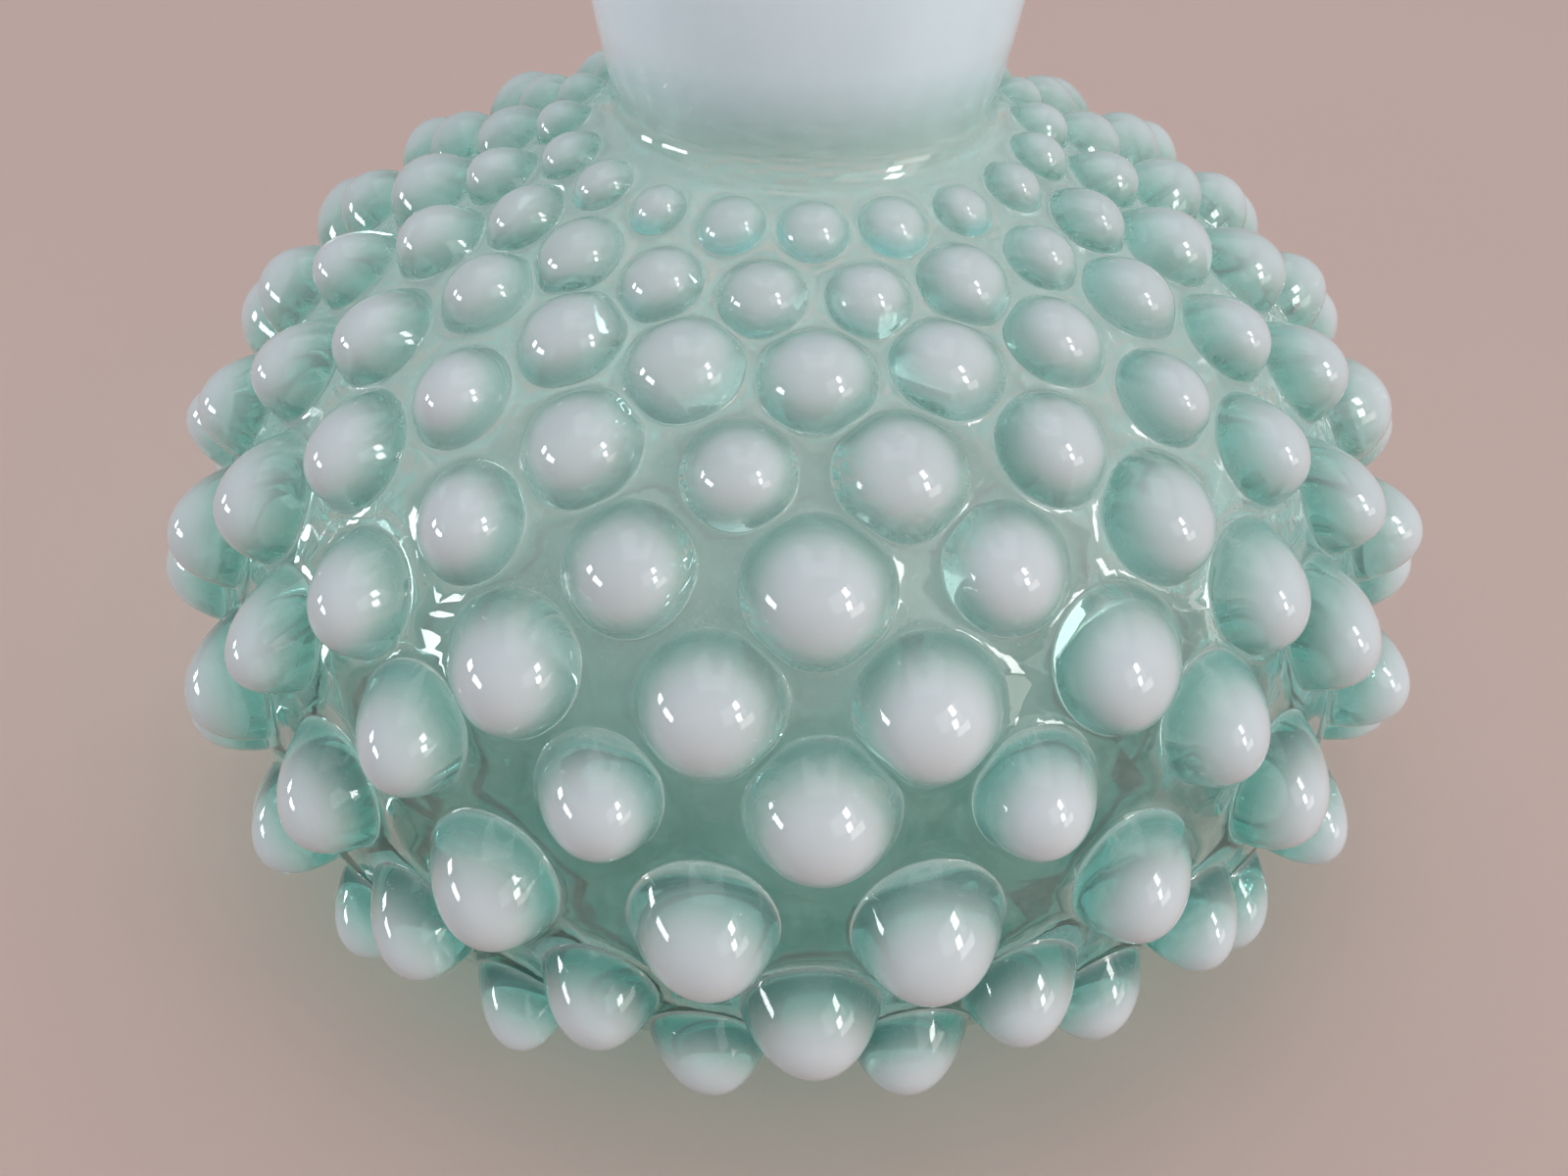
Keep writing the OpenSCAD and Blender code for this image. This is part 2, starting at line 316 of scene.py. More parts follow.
def neck_wall(inset):
    """Neck from the waist over the swelling to the slim top, less an inset."""
    share = np.linspace(0, 1, 40)
    waist_z, swell_z, top_z = WAIST_Z, WAIST_Z + SWELL_RISE, BOTTLE_H - MOUTH_LEN
    low_r = WAIST_R + (SWELL_R - WAIST_R) * np.sin(share * math.pi / 2)
    low = np.stack([low_r - inset, waist_z + SWELL_RISE * share], 1)
    high_r = SWELL_R + (NECK_R - SWELL_R) * smooth_step(0, 1, share)
    high = np.stack([high_r - inset, swell_z + (top_z - swell_z) * share], 1)
    return np.concatenate([low, high])


SHOULDER_C = (BODY_R - SHOULDER_ARC, EQUATOR_H)
HEEL_C = (BODY_R - HEEL_ARC, EQUATOR_H)
CROSS_LAT = math.pi / 2 - SLOPE + SLOPE_TURN
CROSS = arc(SHOULDER_C, SHOULDER_ARC, CROSS_LAT, CROSS_LAT, 1)[0]
NECK_R = MOUTH_R + NECK_WALL
ROOT_R = WAIST_R + NECK_FILLET * (1 - math.sin(SLOPE))
ROOT_Z = CROSS[1] + (CROSS[0] - ROOT_R) * math.tan(SLOPE)
WAIST_Z = ROOT_Z + NECK_FILLET * math.cos(SLOPE)


def glass_outline():
    """Half outline of the glass, from under the base over the lip and down to the inner base."""
    kick_ball = (KICK_R ** 2 + KICK_DEPTH ** 2) / (2 * KICK_DEPTH)
    kick_half = math.asin(KICK_R / kick_ball)
    kick = arc((0, KICK_DEPTH - kick_ball), kick_ball, math.pi / 2, math.pi / 2 - kick_half)
    heel = arc(HEEL_C, HEEL_ARC, -math.asin(EQUATOR_H / HEEL_ARC), 0, 60)
    shoulder = arc(SHOULDER_C, SHOULDER_ARC, 0, CROSS_LAT, 80)
    fillet = arc((WAIST_R + NECK_FILLET, WAIST_Z), NECK_FILLET, math.pi * 1.5 - SLOPE, math.pi)
    edge = LIP_H / 2
    flare_r = LIP_R - edge - NECK_R
    flare = arc((NECK_R + flare_r, BOTTLE_H - LIP_H - flare_r), flare_r, math.pi, math.pi / 2)
    lip = arc((LIP_R - edge, BOTTLE_H - edge), edge, -math.pi / 2, math.pi / 2)
    mouth = arc((MOUTH_R + MOUTH_ROUND, BOTTLE_H - MOUTH_ROUND), MOUTH_ROUND, math.pi / 2, math.pi)
    inner_arc = SHOULDER_ARC - BODY_WALL
    inner_turn = math.acos((SHOULDER_ARC * math.cos(SLOPE_TURN) - BODY_WALL) / inner_arc)
    inner_lat = math.pi / 2 - SLOPE + inner_turn
    inner_low = WAIST_R - NECK_WALL
    inner_z = CROSS[1] + (CROSS[0] - inner_low) * math.tan(SLOPE) - BODY_WALL / math.cos(SLOPE)
    inner_heel = HEEL_ARC - BODY_WALL
    drop = EQUATOR_H - BASE_THICK - BASE_FILLET
    turn = -math.asin(drop / (inner_heel - BASE_FILLET))
    corner = (HEEL_C[0] + (inner_heel - BASE_FILLET) * math.cos(turn), BASE_THICK + BASE_FILLET)
    return [
        kick, heel, shoulder, fillet, neck_wall(0), flare, lip, mouth,
        [[MOUTH_R, BOTTLE_H - MOUTH_LEN + JOIN_GAP]], neck_wall(NECK_WALL)[::-1], [[inner_low, inner_z]],
        arc(SHOULDER_C, inner_arc, inner_lat, 0, 80), arc(HEEL_C, inner_heel, 0, turn, 40),
        arc(corner, BASE_FILLET, turn, -math.pi / 2), [[0, BASE_THICK]],
    ]


GLASS = Meridian(glass_outline(), EDGE_SOFTNESS)
TOP_S = GLASS.s[np.argmax(GLASS.points[:, 1])]


def glass_s(height, inside=False):
    """Length along the glass at a height over the base, on its outer or its inner side."""
    side = (GLASS.s > TOP_S) if inside else (GLASS.s < TOP_S) & (GLASS.s > KICK_R)
    s, z = GLASS.s[side], GLASS.points[side, 1]
    return np.interp(height, z[::-1], s[::-1]) if inside else np.interp(height, z, s)


HEEL_S = float(glass_s(EQUATOR_H + HEEL_EDGE_H))
ROOT_S = float(glass_s(ROOT_Z))
CHART = np.concatenate([[0], np.cumsum(np.diff(GLASS.s) / np.maximum(GLASS.points[1:, 0], 1))])


def on_glass(theta, s):
    """Points on the glass at an angle round the axis and a length along the outline."""
    r, z = GLASS.at(s)
    return np.stack([r * np.cos(theta), r * np.sin(theta), z], -1)


def on_chart(theta, s):
    """The same points on a flat chart that keeps angles, seen from above."""
    reach = np.exp(np.interp(HEEL_S, GLASS.s, CHART) - np.interp(s, GLASS.s, CHART))
    return np.stack([reach * np.cos(theta), reach * np.sin(theta)], -1)


def hob_places():
    """Angle, length along the glass, radius, height, two leans and depth of colour of every hob."""
    hobs = []
    step = 2 * math.pi / HOBS_PER_ROW
    for row, (height, width, stand, deep) in enumerate(zip(ROW_H, ROW_D, ROW_TALL, ROW_DEEP)):
        s = glass_s(EQUATOR_H + height)
        r = GLASS.at(s)[0]
        droop = MOULD_DROOP * 2 * np.prod(GLASS.direction(s))
        turn = 0.5 if row % 2 == 0 else 0.0
        shift = HOB_SHIFT * (width / max(ROW_D)) ** 2
        for column in range(HOBS_PER_ROW):
            theta = -math.pi / 2 + (column + turn) * step + RNG.uniform(-shift, shift) / r
            radius = width / 2 * RNG.uniform(HOB_LEAST_WIDTH, 1.0)
            tall = stand * RNG.uniform(HOB_LEAST_HEIGHT, 1.0)
            lean = RNG.uniform(-HOB_LEAN, HOB_LEAN, 2)
            lean += (-MOULD_LEAN * math.sin(2 * theta + math.pi), droop)
            hobs.append((theta, s + RNG.uniform(-shift, shift), radius, tall, *lean, deep))
    hobs = np.array(hobs)
    hobs[DRAWN_HOB, 5] = DRAWN_LEAN
    return hobs


HOBS = hob_places()
HOBS_XYZ = on_glass(HOBS[:, 0], HOBS[:, 1])
PITS = np.stack([
    RNG.uniform(-math.pi, math.pi, PIT_COUNT),
    RNG.uniform(CORK_BOX[0][2], CORK_BOX[1][2], PIT_COUNT),
    RNG.uniform(*PIT_WIDTH, PIT_COUNT),
    RNG.uniform(*PIT_LENGTH, PIT_COUNT),
    RNG.uniform(*PIT_DEPTH, PIT_COUNT),
], 1)


def root_reach(phi):
    """How far each hob's root reaches in each direction: its radius, or less towards a near neighbour."""
    theta, s, radius = HOBS.T[:3]
    r = GLASS.at(s)[0]
    turn = (theta - theta[:, None] + math.pi) % (2 * math.pi) - math.pi
    east, north = turn * (r[:, None] + r) / 2, s - s[:, None]
    away = np.hypot(east, north) + np.eye(len(HOBS)) * 4 * BODY_R
    border = (away - ROOT_GAP) * radius[:, None] / (radius[:, None] + radius)
    facing = (east[..., None] * np.cos(phi) + north[..., None] * np.sin(phi)) / away[..., None]
    limit = border[..., None] / np.maximum(facing, LEAST_FACING)
    crowd = ((limit / radius[:, None, None]) ** -ROOT_SHARPNESS).sum(1)
    return radius[:, None] * (1 + crowd) ** (-1 / ROOT_SHARPNESS)


def nearest_hob(theta, s):
    """Distance along the glass to the middle of the nearest hob, and that hob's number."""
    r = GLASS.at(s)[0]
    turn = (theta[:, None] - HOBS[None, :, 0] + math.pi) % (2 * math.pi) - math.pi
    away = np.hypot(turn * r[:, None], s[:, None] - HOBS[None, :, 1])
    number = np.argmin(away - HOBS[None, :, 2], axis=1)
    return away[np.arange(len(theta)), number], number


class MeshPlan:
    """Points, faces and named shares at each point, gathered piece by piece."""

    def __init__(self, *layers):
        self.points, self.faces, self.count = [], [], 0
        self.shares = {layer: [] for layer in layers}

    def add(self, points, **shares):
        """Adds points and gives their numbers in the same layout."""
        points = np.asarray(points, float)
        numbers = self.count + np.arange(points[..., 0].size).reshape(points.shape[:-1])
        self.points.append(points.reshape(-1, 3))
        for layer, found in self.shares.items():
            found.append(np.broadcast_to(shares.get(layer, 0.0), points.shape[:-1]).reshape(-1))
        self.count += points[..., 0].size
        return numbers

    def band(self, low, high):
        """Quads between two closed rings of the same count."""
        quads = np.stack([low, np.roll(low, -1, -1), np.roll(high, -1, -1), high], -1)
        self.faces += quads.reshape(-1, 4).tolist()

    def fan(self, ring, tip):
        """Triangles from a closed ring to one point."""
        self.faces += np.stack([ring, np.roll(ring, -1), np.full(len(ring), tip)], -1).tolist()

    def fill(self, rings, chart, more=(), kind=WHOLE_HULL):
        """Triangles on a flat chart in the first of some closed rings; the other rings are left open."""
        numbers = np.concatenate([*rings, *more])
        owners = [np.full(len(ring), i) for i, ring in enumerate(rings)]
        label = np.concatenate(owners + [np.full(len(loose), -1) for loose in more])
        edges, start = [], 0
        for ring in rings:
            edges += [(start + i, start + (i + 1) % len(ring)) for i in range(len(ring))]
            start += len(ring)
        spots = [Vector(p) for p in chart]
        _, _, faces, origin, _, _ = delaunay_2d_cdt(spots, edges, [], kind, SAME_PLACE, True)
        if len(origin) != len(chart) or any(len(face) != 3 for face in faces):
            raise ValueError("two rings of a flat face touch, so it can't be filled")
        found = np.array([ids[0] for ids in origin])[np.array(faces)]
        marks = label[found]
        open_ring = (marks == marks[:, :1]).all(1) & (marks[:, 0] >= 1)
        return numbers[found[~open_ring]]

    def make(self, name, sharp=None):
        """The finished object, smooth but for edges over a sharp angle, in metres."""
        mesh = bpy.data.meshes.new(name)
        mesh.from_pydata((np.concatenate(self.points) * MM).tolist(), [], self.faces)
        mesh.update()
        for layer, found in self.shares.items():
            data = mesh.attributes.new(layer, "FLOAT", "POINT").data
            data.foreach_set("value", np.concatenate(found).astype(np.float32))
        mesh.shade_smooth()
        if sharp:
            mesh.set_sharp_from_angle(angle=sharp)
        made = bpy.data.objects.new(name, mesh)
        bpy.context.scene.collection.objects.link(made)
        return made


def hob_profile():
    """Reach and rise of a hob's rings, from the foot of its fillet to near its tip."""
    reach = np.array(HOB_REACH)
    bowl = 1 - np.append(reach, 0) ** HOB_FULLNESS / HOB_FOOT
    bowl = np.sign(bowl) * np.abs(bowl) ** HOB_BLUNTNESS
    rise = bowl + np.hypot(bowl, HOB_FILLET)
    rise = (rise - rise[0]) / (rise[-1] - rise[0])
    return reach, rise[:-1]


def hob_rings():
    """Points of every hob's rings, its tip, how far up the hob each ring lies, and the root's places."""
    reach_share, rise_share = hob_profile()
    theta, s, radius, tall, lean_u, lean_v = HOBS.T[:6]
    middle = on_glass(theta, s)
    tr, tz = GLASS.direction(s)
    east = np.stack([-np.sin(theta), np.cos(theta), 0 * theta], -1)
    north = np.stack([tr * np.cos(theta), tr * np.sin(theta), tz], -1)
    out = np.cross(east, north)
    axis = out + east * np.tan(lean_u)[:, None] + north * np.tan(lean_v)[:, None]
    phi = np.arange(HOB_STEPS) * 2 * math.pi / HOB_STEPS
    lift = smooth_step(0.0, ROOT_LIFT, rise_share)[None, :, None]
    reach = root_reach(phi)[:, None] * (1 - lift) + radius[:, None, None] * lift
    reach = reach * reach_share[None, :, None]
    rise = tall[:, None] * rise_share
    u = reach * np.cos(phi)
    v = reach * np.sin(phi)
    place_s = s[:, None, None] + v
    place_t = theta[:, None, None] + u / GLASS.at(place_s)[0]
    follow = on_glass(place_t, place_s)
    flat = middle[:, None, None] + u[..., None] * east[:, None, None] + v[..., None] * north[:, None, None]
    foot = follow * (1 - lift[..., None]) + flat * lift[..., None]
    points = foot + rise[..., None, None] * axis[:, None, None]
    tips = middle + tall[:, None] * axis
    return points, tips, rise_share, (place_t[:, 0], place_s[:, 0])


def hob_opal(share, most):
    """Share of opal up a hob: clear at its root, white at its tip."""
    return HOB_ROOT_OPAL + (most - HOB_ROOT_OPAL) * smooth_step(*HOB_OPAL_SPAN, share)


def hob_deep(share):
    """Share of deep colour up a hob: most a little above its root, none at its tip."""
    return smooth_step(*HOB_DEEP_RISE, share) * (1 - smooth_step(*HOB_DEEP_FALL, share))


def neck_opal(z):
    """Share of opal in the neck: clear at its root, milky above, a little clearer under the lip."""
    root = smooth_step(WAIST_Z + NECK_OPAL_SPAN[0], WAIST_Z + NECK_OPAL_SPAN[1], z)
    loss = NECK_OPAL_LOSS * smooth_step(WAIST_Z + NECK_LOSS_LOW, BOTTLE_H - NECK_LOSS_TOP, z)
    return NECK_ROOT_OPAL + root * (NECK_OPAL_GAIN - loss)


def fill_places():
    """Places between the hobs that even out the triangles there."""
    low, high = np.interp([HEEL_S, ROOT_S], GLASS.s, CHART)
    rows = int((high - low) / (FILL_GAP * FILL_ROW))
    places = []
    for row in range(1, rows):
        level = low + (high - low) * row / rows
        s = np.interp(level, CHART, GLASS.s)
        steps = round(2 * math.pi / FILL_GAP)
        theta = (np.arange(steps) + 0.5 * (row % 2)) * 2 * math.pi / steps
        places.append(np.stack([theta, np.full(steps, s)], 1))
    places = np.concatenate(places)
    places[:, 0] += RNG.uniform(-FILL_SHIFT, FILL_SHIFT, len(places)) * FILL_GAP
    away, number = nearest_hob(places[:, 0], places[:, 1])
    room = FILL_ROOM * FILL_GAP * GLASS.at(places[:, 1])[0]
    return places[away > HOBS[number, 2] + room]


def widened(points, scale):
    """Points moved away from the axis by a scale."""
    return points * np.stack([scale, scale, np.ones_like(scale)], -1)


def wavy(points):
    """Moves points of the neck in and out a little, as hand-worked glass is."""
    theta = np.arctan2(points[..., 1], points[..., 0])
    z = points[..., 2]
    swing = np.sin(2 * theta + z / 17) + 0.6 * np.sin(3 * theta - z / 11 + 1) + 0.4 * np.sin(z / 6 + theta)
    begin = smooth_step(WAIST_Z, WAIST_Z + NECK_WAVE_START, z)
    end = 1 - smooth_step(BOTTLE_H - NECK_WAVE_END[0], BOTTLE_H - NECK_WAVE_END[1], z)
    r = np.hypot(points[..., 0], points[..., 1])
    return widened(points, 1 + NECK_WAVE * swing * begin * end / np.maximum(r, 1))


def dimpled(points, s):
    """Presses a shallow hollow into the inner wall behind each hob."""
    tr, tz = GLASS.direction(s)
    theta = np.arctan2(points[:, 1], points[:, 0])
    across = HOBS_XYZ[None] - points[:, None]
    wall = np.stack([-tz * np.cos(theta), -tz * np.sin(theta), np.full(len(theta), tr)], -1)
    depth = np.einsum("phk,pk->ph", across, wall)
    side = np.sqrt(np.maximum((across ** 2).sum(-1) - depth ** 2, 0))
    near = np.abs(depth) < DIMPLE_REACH
    push = (np.exp(-(side / (DIMPLE_WIDTH * HOBS[None, :, 2])) ** 2) * near).max(1)
    return points + DIMPLE_DEPTH * push[:, None] * wall


def add_body(plan, around):
    """Adds the hobs and the skin between them, and gives the numbers of its lower and upper ring."""
    points, tips, share, (root_t, root_s) = hob_rings()
    fill = fill_places()
    heel_ring = np.stack([around, np.full(ROUND_STEPS, HEEL_S)], 1)
    neck_ring = np.stack([around, np.full(ROUND_STEPS, ROOT_S)], 1)
    roots = np.stack([root_t, root_s], -1)
    places = np.concatenate([heel_ring, neck_ring, roots.reshape(-1, 2), fill])
    z = GLASS.at(places[:, 1])[1]
    pale_low, pale_high = (EQUATOR_H + rise for rise in SHOULDER_SPAN)
    skin_opal = SKIN_OPAL + (SHOULDER_OPAL - SKIN_OPAL) * smooth_step(pale_low, pale_high, z)
    # Painted shade: the skin's deep colour darkens the lower flats and fades out up the shoulder
    skin_tint_and_shade = SKIN_TINT_AND_SHADE * (1 - smooth_step(pale_low, ROOT_Z - SKIN_SHADE_TOP, z))
    skin = plan.add(on_glass(places[:, 0], places[:, 1]), opal=skin_opal, deep=skin_tint_and_shade)
    heel_numbers, neck_numbers = skin[:ROUND_STEPS], skin[ROUND_STEPS:2 * ROUND_STEPS]
    fill_start = 2 * ROUND_STEPS + len(HOBS) * HOB_STEPS
    root_numbers = skin[2 * ROUND_STEPS:fill_start].reshape(len(HOBS), HOB_STEPS)
    rings = [heel_numbers, neck_numbers, *root_numbers]
    chart = on_chart(places[:, 0], places[:, 1])
    plan.faces += plan.fill(rings, chart, more=[skin[fill_start:]]).tolist()

    most = np.repeat(ROW_OPAL, HOBS_PER_ROW)
    opal = hob_opal(share, most[:, None])[..., None] * np.ones(HOB_STEPS)
    deep = HOBS[:, 6, None, None] * hob_deep(share)[:, None] * np.ones(HOB_STEPS)
    domes = plan.add(points[:, 1:], opal=opal[:, 1:], deep=deep[:, 1:])
    tip_numbers = plan.add(tips, opal=most)
    for root, dome, tip in zip(root_numbers, domes, tip_numbers):
        rings = [root, *dome]
        for low, high in zip(rings, rings[1:]):
            plan.band(low, high)
        plan.fan(rings[-1], tip)
    return heel_numbers, neck_numbers


def add_foot(plan, around, previous):
    """Adds rings from the heel down and in to the middle of the base."""
    for s in GLASS.rings(MIDDLE_GAP, HEEL_S)[::-1][1:]:
        ring = plan.add(on_glass(around, np.full(ROUND_STEPS, s)), opal=SKIN_OPAL, deep=BASE_DEEP)
        plan.band(ring, previous)
        previous = ring
    middle = plan.add(on_glass(np.zeros(1), np.zeros(1)), opal=SKIN_OPAL, deep=BASE_DEEP)[0]
    plan.fan(previous[::-1], middle)


def add_neck_and_inside(plan, around, previous):
    """Adds rings up the neck, over the lip and down the whole inside."""
    end = GLASS.s[-1]
    inner_root = float(glass_s(ROOT_Z - BODY_WALL, inside=True))
    neck_s = GLASS.rings(ROOT_S, inner_root)[1:]
    body_s = GLASS.rings(inner_root, end - MIDDLE_GAP, gap=INNER_GAP)[1:]
    for s in np.concatenate([neck_s, body_s]):
        points = on_glass(around, np.full(ROUND_STEPS, s))
        z = points[0, 2]
        if s <= inner_root:
            points = wavy(points)
            opal = neck_opal(z) * (NECK_INSIDE if s > TOP_S + LIP_R else 1.0)
            deep = 0.0
        else:
            points = dimpled(points, s)
            opal = SKIN_OPAL
            deep = BASE_DEEP * (1 - smooth_step(BASE_THICK, BASE_THICK + BASE_GLOW, z))
        ring = plan.add(points, opal=opal, deep=deep)
        plan.band(previous, ring)
        previous = ring
    middle = plan.add(on_glass(np.zeros(1), np.full(1, end)), opal=SKIN_OPAL, deep=BASE_DEEP)[0]
    plan.fan(previous, middle)


def build_glass():
    """The bottle as one closed mesh, with the shares of opal and of deep colour at each point."""
    plan = MeshPlan("opal", "deep")
    around = np.arange(ROUND_STEPS) * 2 * math.pi / ROUND_STEPS
    heel_numbers, neck_numbers = add_body(plan, around)
    add_foot(plan, around, heel_numbers)
    add_neck_and_inside(plan, around, neck_numbers)
    return plan.make("hobnail_bottle")


def rounded(corners, radius, closed=False, steps=6):
    """An outline whose true corners are small arcs, with a point close to each end of an arc."""
    corners = np.asarray(corners, float)
    found = [] if closed else [corners[:1]]
    numbers = range(len(corners)) if closed else range(1, len(corners) - 1)
    share = np.linspace(0, 1, steps)[:, None]
    for i in numbers:
        here, before, after = corners[i], corners[i - 1], corners[(i + 1) % len(corners)]
        in_len, out_len = np.hypot(*(before - here)), np.hypot(*(after - here))
        if np.dot(here - before, after - here) > math.cos(SOFT_TURN) * in_len * out_len:
            found.append([here])
            continue
        in_room = in_len * (SHARED_SIDE if closed or i > 1 else OWN_SIDE)
        out_room = out_len * (SHARED_SIDE if closed or i < len(corners) - 2 else OWN_SIDE)
        trim = min(radius, in_room, out_room)
        start, end = here + (before - here) * trim / in_len, here + (after - here) * trim / out_len
        bend = (1 - share) ** 2 * start + 2 * share * (1 - share) * here + share ** 2 * end
        found += [[start + CORNER_GUARD * (start - here)], bend, [end + CORNER_GUARD * (end - here)]]
    if not closed:
        found.append(corners[-1:])
    return np.concatenate(found)


def circle(radius, z, steps, x=0.0):
    """A level ring of points."""
    turn = np.arange(steps) * 2 * math.pi / steps
    return np.stack([x + radius * np.cos(turn), radius * np.sin(turn), np.full(steps, z)], -1)


def lathe(name, outline, x=0.0, steps=TURN_STEPS, closed=True):
    """A turned piece from its half outline, run anticlockwise: a closed loop, or from axis to axis."""
    plan = MeshPlan()
    rings = [plan.add(circle(r, z, steps, x)) for r, z in (outline if closed else outline[1:-1])]
    for low, high in zip(rings, rings[1:] + rings[:1] * closed):
        plan.band(low, high)
    if not closed:
        plan.fan(rings[0][::-1], plan.add([(x, 0.0, outline[0][1])])[0])
        plan.fan(rings[-1], plan.add([(x, 0.0, outline[-1][1])])[0])
    return plan.make(name, SHARP)


def drilled(name, side, holes, steps=TURN_STEPS, reshape=None):
    """A turned side between two flat faces, with straight holes, each given by its place and radius."""
    plan = MeshPlan()
    rings = []
    for r, z in side:
        ring = circle(r, z, steps)
        rings.append(plan.add(reshape(ring) if reshape else ring))
    for low, high in zip(rings, rings[1:]):
        plan.band(low, high)
    low_z, high_z = side[0][1], side[-1][1]
    low_holes = [plan.add(circle(r, low_z, HOLE_STEPS, x)) for x, r in holes]
    high_holes = [plan.add(circle(r, high_z, HOLE_STEPS, x)) for x, r in holes]
    for low, high in zip(low_holes, high_holes):
        plan.band(high, low)
    flat = np.concatenate(plan.points)[:, :2]
    for edge, inner, turn in ((rings[0], low_holes, -1), (rings[-1], high_holes, 1)):
        faces = plan.fill([edge, *inner], flat[np.concatenate([edge, *inner])], kind=INSIDE_ONLY)
        plan.faces += faces[:, ::turn].tolist()
    return plan.make(name, SHARP)


def fluted(ring):
    """Cuts the collar's flutes out of a ring of points."""
    turn = np.arctan2(ring[:, 1], ring[:, 0])
    r = np.hypot(ring[:, 0], ring[:, 1])
    step = 2 * math.pi / RIM_FLUTES
    aside = np.abs(turn % step - step / 2) * COLLAR_R
    flank = np.cos(np.minimum(aside / (FLUTE_R * FLUTE_SPREAD), 1) * math.pi / 2)
    on_rim = smooth_step(COLLAR_R - FLUTE_EDGE[0], COLLAR_R - FLUTE_EDGE[1], r)
    return widened(ring, 1 - FLUTE_R * flank ** FLUTE_BLUNTNESS * on_rim / r)


def pitted(ring):
    """Sinks the pores of cork into a ring of points."""
    turn = np.arctan2(ring[:, 1], ring[:, 0])
    r = np.hypot(ring[:, 0], ring[:, 1])
    pit_turn, pit_z, width, length, depth = PITS.T
    around = ((turn[:, None] - pit_turn + math.pi) % (2 * math.pi) - math.pi) * CORK_R
    along = ring[:, 2:] - pit_z
    dent = (depth * np.exp(-(around / width) ** 2 - (along / length) ** 2)).sum(1)
    low_r = CORK_R - CORK_TAPER / 2
    on_side = smooth_step(low_r - PIT_EDGE[0], low_r - PIT_EDGE[1], r)
    return widened(ring, 1 - np.minimum(dent, PIT_MOST) * on_side / r)


def build_cork():
    """Tapered cork with pores in its side and its two holes."""
    low, high = CORK_BOX[0][2], CORK_BOX[1][2]
    low_r = CORK_R - CORK_TAPER / 2
    corners = [(low_r - CORK_LOW_FLAT, low), (low_r, low), (CORK_R, high), (CORK_R - CORK_TOP_FLAT, high)]
    ends = rounded(corners, CORK_ROUND)
    half = len(ends) // 2
    share = np.linspace(0, 1, CORK_RINGS)[1:-1, None]
    side = np.concatenate([ends[:half], ends[half - 1] * (1 - share) + ends[half] * share, ends[half:]])
    return drilled("cork_stopper", side, STOPPER_HOLES, CORK_STEPS, pitted)


def build_collar():
    """Collar with a fluted rim and a hollow slope up to the spout."""
    low, high = COLLAR_BOX[0][2], COLLAR_BOX[1][2]
    rim, slope_top = low + RIM_H, high - COLLAR_TOP_EDGE
    turn = np.linspace(COLLAR_SLOPE_START, math.pi / 2, 14)
    slope_r = COLLAR_TOP_R + (COLLAR_R - COLLAR_SLOPE_GAP - COLLAR_TOP_R) * (1 - np.sin(turn))
    slope_z = slope_top - (slope_top - rim) * np.cos(turn)
    corners = [
        (COLLAR_R - COLLAR_LOW_FLAT, low), (COLLAR_R, low), (COLLAR_R, rim), (COLLAR_R - RIM_STEP, rim),
        *zip(slope_r, slope_z), (COLLAR_TOP_R, high), (COLLAR_TOP_R - COLLAR_TOP_FLAT, high),
    ]
    side = rounded(corners, COLLAR_ROUND)
    return drilled("milled_collar", side, STOPPER_HOLES, RIM_FLUTES * FLUTE_STEPS, fluted)


def build_nut():
    """Six-sided nut with its corners chamfered."""
    low, high = NUT_BOX[0][2], NUT_BOX[1][2]
    turn = np.arange(NUT_STEPS) * 2 * math.pi / NUT_STEPS
    half = (NUT_BOX[1][1] - NUT_BOX[0][1]) / 2
    flat_turn = (turn + math.pi / 6) % (math.pi / 3) - math.pi / 6
    edge = np.minimum(half / np.cos(flat_turn), half / math.cos(math.pi / 6) * NUT_CORNER)
    edge = np.roll(edge, NUT_STEPS // 12)
    face = half * NUT_FACE
    drop = (edge - face) * math.tan(NUT_CHAMFER)
    levels = [
        (TUBE_R, low), (face, low), (edge, low + drop),
        (edge, high - drop), (face, high), (TUBE_R, high),
    ]
    plan = MeshPlan()
    rings = []
    for r, z in levels:
        z = np.broadcast_to(z, turn.shape)
        rings.append(plan.add(np.stack([r * np.cos(turn), r * np.sin(turn), z], -1)))
    for low_ring, high_ring in zip(rings, rings[1:] + rings[:1]):
        plan.band(low_ring, high_ring)
    return plan.make("hex_nut", NUT_SHARP)


def build_tube(name, node, bore):
    """Straight tube with rounded ends."""
    low, high = box_mm(node)
    x, r = (low[0] + high[0]) / 2, (high[0] - low[0]) / 2
    corners = [(bore, low[2]), (r, low[2]), (r, high[2]), (bore, high[2])]
    return lathe(name, rounded(corners, (r - bore) * TUBE_ROUND, closed=True), x, TUBE_STEPS)


def build_spout():
    """Tapered spout on its foot, with a ring just under the cap."""
    low, high = SPOUT_BOX[0][2], SPOUT_BOX[1][2]
    foot_top = low + FOOT_H

    def stem(z):
        """Radius and height of the stem's side at a height."""
        return STEM_R + (TIP_R - STEM_R) * (z - foot_top) / (high - foot_top), z

    ring = arc(stem(RING_Z), RING_R, -RING_HALF_TURN, RING_HALF_TURN, 15)
    corners = [
        (TUBE_R, low), (FOOT_R, low), (FOOT_R, foot_top),
        (stem(foot_top + STEM_START)[0] + FOOT_FLARE, foot_top), stem(foot_top + FOOT_FLARE_H),
        stem(RING_Z - RING_R - RING_ROOM), *ring, stem(RING_Z + RING_R + RING_ROOM),
        (TIP_R, high), (TUBE_BORE, high), (TUBE_BORE, TUBE_TOP), (TUBE_R, TUBE_TOP),
    ]
    return lathe("pouring_spout", rounded(corners, SPOUT_ROUND, closed=True))


